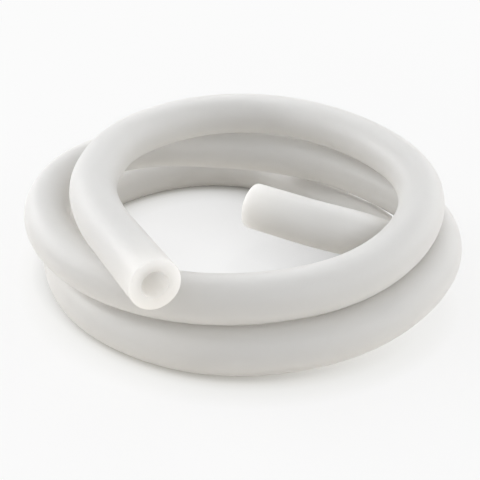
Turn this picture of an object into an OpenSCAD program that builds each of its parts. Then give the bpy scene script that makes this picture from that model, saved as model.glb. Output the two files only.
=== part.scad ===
// Coil of silicone tubing, lying loose on a bench.
// One tube winds a little over two and a half turns, one layer on the next, with both ends cut square.
// Millimetres. The part is centred on the Z axis and the bench is at Z = 0.

/* [Tube] */
// Outside diameter of the tube
tube_d = 16; // [13:0.1:19.2]
// Diameter of the bore that runs right through the tube
bore_d = 8; // [4:0.5:12]

/* [Coil] */
// Radius of a plain turn, measured to the tube's middle line
coil_r = 64; // [55:0.5:90]
// Space left between turns that lie on each other
turn_gap = 0.3; // [0.3:0.1:2]

/* [Ends] */
// Straight length at the end that stops inside the coil
inner_end = 18; // [10:1:24]
// Straight length at the end that leaves the coil
outer_end = 36; // [15:1:80]

/* [Hidden] */

silicone = [0.80, 0.80, 0.78];
$fn = 48;

// Distance between the middle lines of two turns that lie against each other.
pitch = tube_d + turn_gap;

// Angle between one row of the list below and the next.
row_step = 45;

// How far each eighth of a turn strays from a plain one: [outwards, upwards], in pitches.
strays = [
    [-0.35, 0], [1.3, 0], [1.1, 0], [-0.05, 0],
    [-0.3, 0], [-0.1, 0.08], [0.2, 0.32], [0.43, 0.72],
    [-0.12, 0.99], [-0.1, 1.1], [0.55, 1.24], [0.25, 1.2],
    [-0.2, 1.03], [-0.33, 1.06], [-0.16, 1.26], [0, 1.69],
    [-0.2, 2], [-0.15, 2.1], [-0.65, 2.12], [-0.9, 2.08]
];

// How the inner end comes down inside the coil: [angle, outwards, upwards].
lead_in = [[-14, -0.8, 0.8], [0, -0.5, 0.2], [22.5, -0.34, 0]];

// Where each straight end begins: along X and Y in coil radii, and upwards in pitches.
inner_start = [0.32, -0.25, 1.46];
outer_start = [-0.605, -0.71, 2.03];

// Where the coil's own middle stands, in coil radii, so that the part as a whole is centred.
seat = [-0.019, -0.101];

// Which way each straight end points: [compass angle from X, slope upwards].
inner_heading = [147.5, 2];
outer_heading = [-64, 0];

// Every second arc is snug: this much thinner all over, so that it welds to its neighbours cleanly.
slack = 0.05;

// How far a snug arc reaches into its neighbours.
lap = 0.5;

function unit(v) = v / norm(v);

// Height of the middle line for a rise given in pitches.
function height(rise) = tube_d / 2 + pitch * rise;

// A point beside the coil, from an angle and how far it strays outwards and upwards.
function beside(angle, out, rise) =
    [(coil_r + pitch * out) * cos(angle), (coil_r + pitch * out) * sin(angle), height(rise)];

// Where a straight end begins.
function start_of(place) = [coil_r * place.x, coil_r * place.y, height(place.z)];

// Direction from a compass angle and a slope.
function heading(h) = [cos(h.y) * cos(h.x), cos(h.y) * sin(h.x), sin(h.y)];

turns = [for (i = [0 : len(strays) - 1]) beside(row_step * (i + 1), strays[i].x, strays[i].y)];
lead = [for (p = lead_in) beside(p.x, p.y, p.z)];
inner_root = start_of(inner_start);
outer_root = start_of(outer_start);
inner_tip = inner_root + inner_end * heading(inner_heading);
outer_tip = outer_root + outer_end * heading(outer_heading);

// The middle line's points, from the inner end to the outer end.
route = concat([inner_tip, inner_root], lead, turns, [outer_root, outer_tip]);
last = len(route) - 1;

// Direction of the middle line at a point, leaning towards its nearer neighbour.
function lean(before, here, after) =
    unit(unit(here - before) * norm(after - here) + unit(after - here) * norm(here - before));

// A tube that lies on the bench runs level.
function settle(v, here) = here.z > height(0) ? v : unit([v.x, v.y, 0]);

function direction(i) =
    i <= 1 ? unit(route[1] - route[0])
    : i >= last - 1 ? unit(route[last] - route[last - 1])
    : settle(lean(route[i - 1], route[i], route[i + 1]), route[i]);

// Reach of the two equal tangents that let a pair of arcs join two points.
function reach(gap, t0, t1) =
    let (k = 2 * (1 - t0 * t1), along = gap * (t0 + t1))
    (sqrt(along * along + k * gap * gap) - along) / k;

// Two arcs that join route point i to the next one, each as [from, direction, to, direction].
function pair(i) =
    let (t0 = direction(i),
        t1 = direction(i + 1),
        tangent = reach(route[i + 1] - route[i], t0, t1),
        a = route[i] + tangent * t0,
        b = route[i + 1] - tangent * t1,
        middle = (a + b) / 2,
        across = unit(b - a))
    [[route[i], t0, middle, across], [middle, across, route[i + 1], t1]];

// One arc cut into two equal arcs.
function halves(arc) =
    let (chord = arc[2] - arc[0],
        turn = acos(arc[1] * arc[3]),
        bulge = norm(chord) / 2 * tan(turn / 4),
        crown = (arc[0] + arc[2]) / 2 + bulge * unit(arc[1] - arc[3]),
        along = unit(chord))
    [[arc[0], arc[1], crown, along], [crown, along, arc[2], arc[3]]];

// All the arcs in order. The first is halved to leave an odd number, so both end ones can be snug.
pairs = [for (i = [1 : last - 2]) each pair(i)];
arcs = concat(halves(pairs[0]), [for (i = [1 : len(pairs) - 1]) pairs[i]]);

// Cut across the tube, thinned all over.
module section(thinned) {
    difference() {
        circle(d = tube_d - 2 * thinned);
        circle(d = bore_d + 2 * thinned);
    }
}

// Tube swept round one arc.
module bend(arc, snug) {
    ahead = arc[1];
    turn = acos(ahead * arc[3]);
    radius = norm(arc[2] - arc[0]) / (2 * sin(turn / 2));
    outward = -unit(arc[3] - cos(turn) * ahead);
    centre = arc[0] - radius * outward;
    up = cross(outward, ahead);
    over = snug ? lap / radius * 180 / PI : 0;
    multmatrix([
        [outward.x, ahead.x, up.x, centre.x],
        [outward.y, ahead.y, up.y, centre.y],
        [outward.z, ahead.z, up.z, centre.z],
        [0, 0, 0, 1]
    ])
        rotate([0, 0, -over])
            rotate_extrude(angle = turn + 2 * over)
                translate([radius, 0])
                    section(snug ? slack : 0);
}

// Straight tube from a point, along a heading.
module straight(from, h, length) {
    translate(from)
        rotate([0, 90 - h.y, h.x])
            linear_extrude(length)
                section(0);
}

// The whole tube. Snug and full-size arcs take turns between the two full-size straight ends.
module silicone_tube() {
    color(silicone)
        translate([coil_r * seat.x, coil_r * seat.y, 0]) {
            straight(inner_root, inner_heading, inner_end);
            for (i = [0 : len(arcs) - 1])
                bend(arcs[i], i % 2 == 0);
            straight(outer_root, outer_heading, outer_end);
        }
}

silicone_tube();
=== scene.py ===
"""Coil of milky silicone tubing on a pale bench. Metres, in the same frame as the CAD model."""
import math

import bpy
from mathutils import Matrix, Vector


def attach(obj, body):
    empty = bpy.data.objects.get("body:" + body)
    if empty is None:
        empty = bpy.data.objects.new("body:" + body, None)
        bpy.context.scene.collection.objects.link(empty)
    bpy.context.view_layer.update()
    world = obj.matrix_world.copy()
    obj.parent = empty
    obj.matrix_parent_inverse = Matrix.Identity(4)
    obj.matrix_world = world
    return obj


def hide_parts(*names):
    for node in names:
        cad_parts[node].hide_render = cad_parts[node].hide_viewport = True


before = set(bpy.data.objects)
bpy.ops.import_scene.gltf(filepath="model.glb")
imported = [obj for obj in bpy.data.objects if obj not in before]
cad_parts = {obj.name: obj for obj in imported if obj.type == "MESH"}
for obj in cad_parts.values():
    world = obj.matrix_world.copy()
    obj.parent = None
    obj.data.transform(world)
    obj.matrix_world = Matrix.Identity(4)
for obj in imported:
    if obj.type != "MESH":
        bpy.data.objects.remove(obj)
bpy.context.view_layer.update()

# ---------------------------------------------------------------- sizes, as in the part's source
TUBE_D = 0.016
BORE_D = 0.008
COIL_R = 0.064
PITCH = TUBE_D + 0.0003
INNER_END = 0.018
OUTER_END = 0.036
ROW_STEP = 45

# How far each eighth of a turn strays from a plain one: (outwards, upwards), in pitches.
STRAYS = [
    (-0.35, 0), (1.3, 0), (1.1, 0), (-0.05, 0),
    (-0.3, 0), (-0.1, 0.08), (0.2, 0.32), (0.43, 0.72),
    (-0.12, 0.99), (-0.1, 1.1), (0.55, 1.24), (0.25, 1.2),
    (-0.2, 1.03), (-0.33, 1.06), (-0.16, 1.26), (0, 1.69),
    (-0.2, 2), (-0.15, 2.1), (-0.65, 2.12), (-0.9, 2.08),
]

# How the inner end comes down inside the coil: (angle, outwards, upwards).
LEAD_IN = [(-14, -0.8, 0.8), (0, -0.5, 0.2), (22.5, -0.34, 0)]

# Where each straight end begins, along X and Y in coil radii and upwards in pitches, and its heading.
INNER_START = (0.32, -0.25, 1.46)
OUTER_START = (-0.605, -0.71, 2.03)
INNER_HEADING = (147.5, 2)
OUTER_HEADING = (-64, 0)
SEAT = Vector((-0.019 * COIL_R, -0.101 * COIL_R, 0))


# ---------------------------------------------------------------- camera
def make_camera():
    """Looks at the front of the coil from 27 degrees above the bench."""
    tilt = math.radians(26.89)
    target = Vector((-0.0005, -0.0392, 0.0323))
    away = 0.3147
    data = bpy.data.cameras.new("camera")
    data.lens, data.sensor_width = 72.77, 36
    cam = bpy.data.objects.new("camera", data)
    cam.location = target + away * Vector((0, -math.cos(tilt), math.sin(tilt)))
    cam.rotation_euler = (math.pi / 2 - tilt, 0, 0)
    bpy.context.collection.objects.link(cam)
    bpy.context.scene.camera = cam


# ---------------------------------------------------------------- route
def height(rise):
    """Height of the middle line for a rise given in pitches."""
    return TUBE_D / 2 + PITCH * rise


def beside(angle, out, rise):
    """A point beside the coil, from an angle and how far it strays outwards and upwards."""
    a, r = math.radians(angle), COIL_R + PITCH * out
    return SEAT + Vector((r * math.cos(a), r * math.sin(a), height(rise)))


def start_of(place):
    """Where a straight end begins."""
    return SEAT + Vector((COIL_R * place[0], COIL_R * place[1], height(place[2])))


def heading(pair):
    """Direction from a compass angle and a slope."""
    a, s = map(math.radians, pair)
    return Vector((math.cos(s) * math.cos(a), math.cos(s) * math.sin(a), math.sin(s)))


def route_points():
    """The route's points from the end inside the coil to the end that leaves it."""
    inner, outer = start_of(INNER_START), start_of(OUTER_START)
    turns = [beside(ROW_STEP * (i + 1), out, rise) for i, (out, rise) in enumerate(STRAYS)]
    lead = [beside(*p) for p in LEAD_IN]
    return (
        [inner + INNER_END * heading(INNER_HEADING), inner]
        + lead
        + turns
        + [outer, outer + OUTER_END * heading(OUTER_HEADING)]
    )


def directions(points):
    """The middle line's direction at each point, level where the tube lies on the bench."""
    on_bench = height(0) + 1e-6  # the margin covers rounding
    steps = [(b - a).normalized() for a, b in zip(points, points[1:])]
    lengths = [(b - a).length for a, b in zip(points, points[1:])]
    out = [steps[0], steps[0]]
    for i in range(2, len(points) - 2):
        lean = (steps[i - 1] * lengths[i] + steps[i] * lengths[i - 1]).normalized()
        if points[i].z < on_bench:
            lean = Vector((lean.x, lean.y, 0)).normalized()
        out.append(lean)
    return out + [steps[-1], steps[-1]]


def arc(start, ahead, end, onward, spacing):
    """Points and directions along one arc, without its last point."""
    turn = math.acos(max(-1, min(1, ahead.dot(onward))))
    radius = (end - start).length / (2 * math.sin(turn / 2))
    inward = (onward - math.cos(turn) * ahead).normalized()
    count = max(3, math.ceil(turn * radius / spacing))
    for j in range(count):
        a = turn * j / count
        yield (
            start + radius * (math.sin(a) * ahead + (1 - math.cos(a)) * inward),
            math.cos(a) * ahead + math.sin(a) * inward,
        )


def line(start, end, spacing):
    """Points and directions along one straight length, without its last point."""
    ahead = (end - start).normalized()
    count = round((end - start).length / spacing)
    for j in range(count):
        yield start.lerp(end, j / count), ahead


def middle_line(spacing):
    """[(point, direction), ...] along the whole tube: straight, pairs of arcs, straight."""
    points = route_points()
    ways = directions(points)
    out = list(line(points[0], points[1], spacing))
    for p0, p1, t0, t1 in list(zip(points, points[1:], ways, ways[1:]))[1:-1]:
        gap = p1 - p0
        k, along = 2 * (1 - t0.dot(t1)), gap.dot(t0 + t1)
        reach = (math.sqrt(along * along + k * gap.dot(gap)) - along) / k
        a, b = p0 + reach * t0, p1 - reach * t1
        middle, across = (a + b) / 2, (b - a).normalized()
        out += arc(p0, t0, middle, across, spacing)
        out += arc(middle, across, p1, t1, spacing)
    out += line(points[-2], points[-1], spacing)
    out.append((points[-1], ways[-1]))
    return out


# ---------------------------------------------------------------- tube
SIDES = 72
RING_GAP = 0.0015  # longest step from one outside ring to the next
BORE_SKIP = 3  # the bore has a ring at every third step
SKIN = 0.00007  # how much smaller the skin's radius is than the tube's, to stay inside the CAD box
OUTER_EDGE = 0.00035  # rounding of the cut ends' outer edge
BORE_EDGE = 0.0002  # and of the bore's mouth
SHORTENED = 0.01  # how much of the tube's length the pattern of extrusion lines sees


def stations_along(path):
    """[(point, direction, two axes across, length so far), ...], with axes that don't twist."""
    stations, side, far, before = [], Vector((0, 0, 1)), 0, path[0][0]
    for point, ahead in path:
        side = (side - side.dot(ahead) * ahead).normalized()
        far += (point - before).length
        before = point
        stations.append((point, ahead, side, ahead.cross(side), far))
    return stations


def cap(i, sign):
    """Rings of a cut end, [(station, shift along the tube, radius), ...], from the outside to the bore."""
    outer_r, bore_r = TUBE_D / 2 - SKIN, BORE_D / 2
    edge, mouth = outer_r - OUTER_EDGE, bore_r + BORE_EDGE
    quarter = [math.radians(a) for a in (0, 22.5, 45, 67.5, 90)]
    rings = [(sign * OUTER_EDGE * (math.sin(a) - 1), edge + OUTER_EDGE * math.cos(a)) for a in quarter]
    rings += [(0, edge + (mouth - edge) * k) for k in (0.25, 0.5, 0.75)]
    rings += [(sign * BORE_EDGE * (math.cos(a) - 1), mouth - BORE_EDGE * math.sin(a)) for a in quarter]
    return [(i, shift, radius) for shift, radius in rings]


def build_tube():
    """One closed skin: outside, rounded cut end, bore, rounded cut end."""
    path = middle_line(RING_GAP)
    stations = stations_along(path)
    last = len(stations) - 1
    rings = [(i, 0, TUBE_D / 2 - SKIN) for i in range(1, last)]
    rings += cap(last, 1)
    rings += [(i, 0, BORE_D / 2) for i in range(last - 1, 0, -BORE_SKIP)]
    rings += reversed(cap(0, -1))

    verts, faces, unrolled = [], [], []
    for i, shift, radius in rings:
        point, ahead, u, v, far = stations[i]
        centre = point + shift * ahead
        for k in range(SIDES):
            a = 2 * math.pi * k / SIDES
            verts.append(centre + radius * (math.cos(a) * u + math.sin(a) * v))
            unrolled += [radius * math.cos(a), radius * math.sin(a), SHORTENED * far]
    for r in range(len(rings)):
        here, there = r * SIDES, (r + 1) % len(rings) * SIDES
        for k in range(SIDES):
            n = (k + 1) % SIDES
            faces.append((here + k, here + n, there + n, there + k))

    mesh = bpy.data.meshes.new("tube")
    mesh.from_pydata(verts, [], faces)
    mesh.validate()
    mesh.update()
    mesh.shade_smooth()
    mesh.attributes.new("unrolled", "FLOAT_VECTOR", "POINT").data.foreach_set("vector", unrolled)
    tube = bpy.data.objects.new("tube", mesh)
    bpy.context.collection.objects.link(tube)
    return tube, [p for p, _ in path]


# ---------------------------------------------------------------- nodes that materials share
def noise(nodes, links, place, scale, detail):
    node = nodes.new("ShaderNodeTexNoise")
    node.inputs["Scale"].default_value = scale
    node.inputs["Detail"].default_value = detail
    links.new(place, node.inputs["Vector"])
    return node.outputs["Fac"]


def tone_ramp(nodes, links, factor, stops):
    """Colours that follow a factor, from [(factor, (red, green, blue)), ...]."""
    node = nodes.new("ShaderNodeValToRGB")
    elements = node.color_ramp.elements
    for place, _ in stops[1:-1]:
        elements.new(place)
    for element, (place, tone) in zip(elements, stops):
        element.position, element.color = place, (*tone, 1)
    links.new(factor, node.inputs["Fac"])
    return node.outputs["Color"]


def spread(nodes, links, value, source, target, kind="LINEAR"):
    """A value moved from one range to another, and held at its ends."""
    node = nodes.new("ShaderNodeMapRange")
    node.interpolation_type = kind
    for name, limits in (("From", source), ("To", target)):
        node.inputs[name + " Min"].default_value = limits[0]
        node.inputs[name + " Max"].default_value = limits[1]
    links.new(value, node.inputs["Value"])
    return node.outputs["Result"]


def bump(nodes, links, relief, strength):
    node = nodes.new("ShaderNodeBump")
    node.inputs["Strength"].default_value = strength
    node.inputs["Distance"].default_value = 0.0001
    links.new(relief, node.inputs["Height"])
    return node


def openness(nodes, reach):
    """1 where nothing stands within reach of the surface, and less where something does."""
    node = nodes.new("ShaderNodeAmbientOcclusion")
    node.samples = 32
    node.inputs["Distance"].default_value = reach
    return node


def mix_shaders(nodes, links, share, first, second):
    node = nodes.new("ShaderNodeMixShader")
    links.new(share, node.inputs["Fac"])
    links.new(first, node.inputs[1])
    links.new(second, node.inputs[2])
    return node.outputs["Shader"]


def seen_directly(nodes, links):
    """1 for the rays that show a surface, 0 for the rays that light the object."""
    path = nodes.new("ShaderNodeLightPath")
    total = path.outputs["Is Camera Ray"]
    for other in ("Is Glossy Ray", "Is Transmission Ray"):
        plus = nodes.new("ShaderNodeMath")
        plus.operation = "MAXIMUM"
        links.new(total, plus.inputs[0])
        links.new(path.outputs[other], plus.inputs[1])
        total = plus.outputs["Value"]
    return total


# ---------------------------------------------------------------- materials
SILICONE_TINTS = [(0.35, (0.872, 0.851, 0.81)), (0.65, (0.892, 0.874, 0.838))]


def silicone_material():
    """Milky, so that light scatters deep inside it, with a satin skin."""
    mat = bpy.data.materials.new("milky_silicone")
    mat.use_nodes = True
    nodes, links = mat.node_tree.nodes, mat.node_tree.links
    bsdf = nodes["Principled BSDF"]
    bsdf.inputs["IOR"].default_value = 1.41
    bsdf.inputs["Subsurface Weight"].default_value = 1.0
    bsdf.inputs["Subsurface Radius"].default_value = (1.0, 1.0, 1.0)
    bsdf.inputs["Subsurface Scale"].default_value = 0.028
    place = nodes.new("ShaderNodeTexCoord").outputs["Object"]

    cloud = noise(nodes, links, place, scale=22, detail=3)
    links.new(tone_ramp(nodes, links, cloud, SILICONE_TINTS), bsdf.inputs["Base Color"])

    bloom = noise(nodes, links, place, scale=160, detail=4)
    links.new(spread(nodes, links, bloom, (0, 1), (0.36, 0.46)), bsdf.inputs["Roughness"])

    # fine grain, and over it the faint lengthwise lines that extrusion leaves
    grain = bump(nodes, links, noise(nodes, links, place, scale=1800, detail=2), 0.08)
    unrolled = nodes.new("ShaderNodeAttribute")
    unrolled.attribute_name = "unrolled"
    lines = bump(nodes, links, noise(nodes, links, unrolled.outputs["Vector"], scale=700, detail=2), 0.25)
    links.new(grain.outputs["Normal"], lines.inputs["Normal"])
    links.new(lines.outputs["Normal"], bsdf.inputs["Normal"])
    return mat


# How pale the bench shows, with a painted contact shadow, from right under the tube to open bench.
BENCH_TONES_WITH_PAINTED_SHADOW = [
    (0.0, (0.26, 0.25, 0.225)), (0.18, (0.50, 0.485, 0.45)), (0.35, (0.775, 0.77, 0.745)),
    (0.55, (0.885, 0.885, 0.872)), (0.85, (0.94, 0.94, 0.935)), (1.0, (0.965, 0.965, 0.965)),
]
# Painted shade inside the coil: its tone, from how open the bench is towards SHADE_SIDE.
SIDE_TONES = [(0.3, 0.4), (0.5, 0.66), (0.6, 0.8), (0.7, 0.88), (0.8, 0.95), (0.9, 1)]
SHADE_SIDE = (2, -1, 1)
INSIDE_MIDDLE = (0, 0.012, 0)  # middle of the bench that the coil rings


def bench_tone_with_painted_shade(nodes, links, away):
    """Tone that the bench glows with: a painted contact shadow from how near the tube is, and inside the
    coil a painted side shade.
    """
    # painted contact shadow: the glow darkens where the tube stands within 12 mm
    painted_shadow_openness = openness(nodes, 0.012).outputs["AO"]
    tone = tone_ramp(nodes, links, painted_shadow_openness, BENCH_TONES_WITH_PAINTED_SHADOW)

    # painted side shade: inside the coil the glow darkens where the tube stands towards SHADE_SIDE
    side = nodes.new("ShaderNodeCombineXYZ")
    for axis, value in zip("XYZ", SHADE_SIDE):
        side.inputs[axis].default_value = value
    sideways = openness(nodes, 0.054)
    links.new(side.outputs["Vector"], sideways.inputs["Normal"])
    greys = [(place, (grey, grey, grey)) for place, grey in SIDE_TONES]
    inside_shade = tone_ramp(nodes, links, sideways.outputs["AO"], greys)

    shade = nodes.new("ShaderNodeMix")
    links.new(spread(nodes, links, away, (COIL_R, COIL_R + TUBE_D), (0, 1)), shade.inputs["Factor"])
    links.new(inside_shade, shade.inputs["A"])
    shade.inputs["B"].default_value = 1

    # the painted contact shadow, darkened further inside the coil by the painted side shade
    shaded = nodes.new("ShaderNodeVectorMath")
    shaded.operation = "SCALE"
    links.new(tone, shaded.inputs[0])
    links.new(shade.outputs["Result"], shaded.inputs["Scale"])
    return shaded.outputs["Vector"]


def bench_material():
    """Pale and matt. Seen directly, it mostly glows nearly white with a painted shade near the tube, and
    near the coil a fifth of it is real lit shading, fading out by 0.4 m.
    """
    mat = bpy.data.materials.new("bench")
    mat.use_nodes = True
    nodes, links = mat.node_tree.nodes, mat.node_tree.links
    matt = nodes["Principled BSDF"]
    matt.inputs["Base Color"].default_value = (0.85, 0.85, 0.85, 1)
    matt.inputs["Roughness"].default_value = 0.9
    matt.inputs["Specular IOR Level"].default_value = 0.1

    distance = nodes.new("ShaderNodeVectorMath")
    distance.operation = "DISTANCE"
    distance.inputs[1].default_value = INSIDE_MIDDLE
    links.new(nodes.new("ShaderNodeTexCoord").outputs["Object"], distance.inputs[0])
    away = distance.outputs["Value"]

    # the glow's colour carries the painted contact shadow and the painted side shade
    glow = nodes.new("ShaderNodeEmission")
    links.new(bench_tone_with_painted_shade(nodes, links, away), glow.inputs["Color"])
    # share of the glow: 0.8 near the coil, the rest real lit shading, and all glow far off
    evenness = spread(nodes, links, away, (0.1, 0.4), (0.8, 1), kind="SMOOTHSTEP")
    shown = mix_shaders(nodes, links, evenness, matt.outputs["BSDF"], glow.outputs["Emission"])

    bounce = nodes.new("ShaderNodeBsdfDiffuse")
    bounce.inputs["Color"].default_value = (0.9, 0.865, 0.81, 1)
    chosen = mix_shaders(nodes, links, seen_directly(nodes, links), bounce.outputs["BSDF"], shown)
    links.new(chosen, nodes["Material Output"].inputs["Surface"])
    return mat


# ---------------------------------------------------------------- stage
BENCH_HALF = 4


def make_bench():
    s = BENCH_HALF
    mesh = bpy.data.meshes.new("bench")
    mesh.from_pydata([(-s, -s, 0), (s, -s, 0), (s, s, 0), (-s, s, 0)], [], [(0, 1, 2, 3)])
    mesh.materials.append(bench_material())
    bench = bpy.data.objects.new("bench", mesh)
    bpy.context.collection.objects.link(bench)


# name, place, size, power
SOFTBOXES = [
    ("left", (-0.95, -0.1, 0.45), (0.9, 0.7), 2.6),
    ("left_back", (-0.85, 0.45, 0.5), (0.8, 0.6), 4.1),
    ("overhead_left", (-0.65, 0, 0.9), (0.6, 0.9), 1.9),
    ("overhead_back", (0, 0.6, 0.95), (0.9, 0.6), 1.8),
    ("right", (0.95, 0.1, 0.45), (0.9, 0.7), 2.4),
    ("right_back", (0.75, 0.65, 0.45), (0.8, 0.6), 1.6),
    ("right_front", (0.75, -0.65, 0.45), (0.8, 0.6), 2.9),
    ("front", (0, -1.0, 0.6), (1.0, 0.7), 2.1),
]
LAMP_COLOUR = (0.975, 0.985, 1)
LIT_POINT = Vector((0, 0, 0.02))


def make_lamps():
    """A ring of softboxes, each turned to the coil."""
    for name, place, size, power in SOFTBOXES:
        data = bpy.data.lights.new(name, "AREA")
        data.shape, data.energy, data.color = "RECTANGLE", power, LAMP_COLOUR
        data.size, data.size_y = size
        lamp = bpy.data.objects.new(name, data)
        lamp.location = place
        lamp.rotation_euler = (LIT_POINT - Vector(place)).to_track_quat("-Z", "Y").to_euler()
        bpy.context.collection.objects.link(lamp)


def make_world():
    """A slightly warm fill light. Seen directly, it is a pale backdrop in the bench's own tone."""
    world = bpy.data.worlds.new("studio")
    bpy.context.scene.world = world
    world.use_nodes = True
    nodes, links = world.node_tree.nodes, world.node_tree.links
    fill = nodes["Background"]
    fill.inputs["Color"].default_value = (1, 0.98, 0.945, 1)
    fill.inputs["Strength"].default_value = 0.38
    backdrop = nodes.new("ShaderNodeBackground")
    backdrop.inputs["Color"].default_value = (*BENCH_TONES_WITH_PAINTED_SHADOW[-1][1], 1)
    seen = seen_directly(nodes, links)
    chosen = mix_shaders(nodes, links, seen, fill.outputs["Background"], backdrop.outputs["Background"])
    links.new(chosen, nodes["World Output"].inputs["Surface"])


make_camera()
tube, centreline = build_tube()
tube.data.materials.append(silicone_material())
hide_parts("silicone_tube")
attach(tube, "root")
make_bench()
make_lamps()
make_world()
bpy.context.scene.view_settings.view_transform = "Standard"
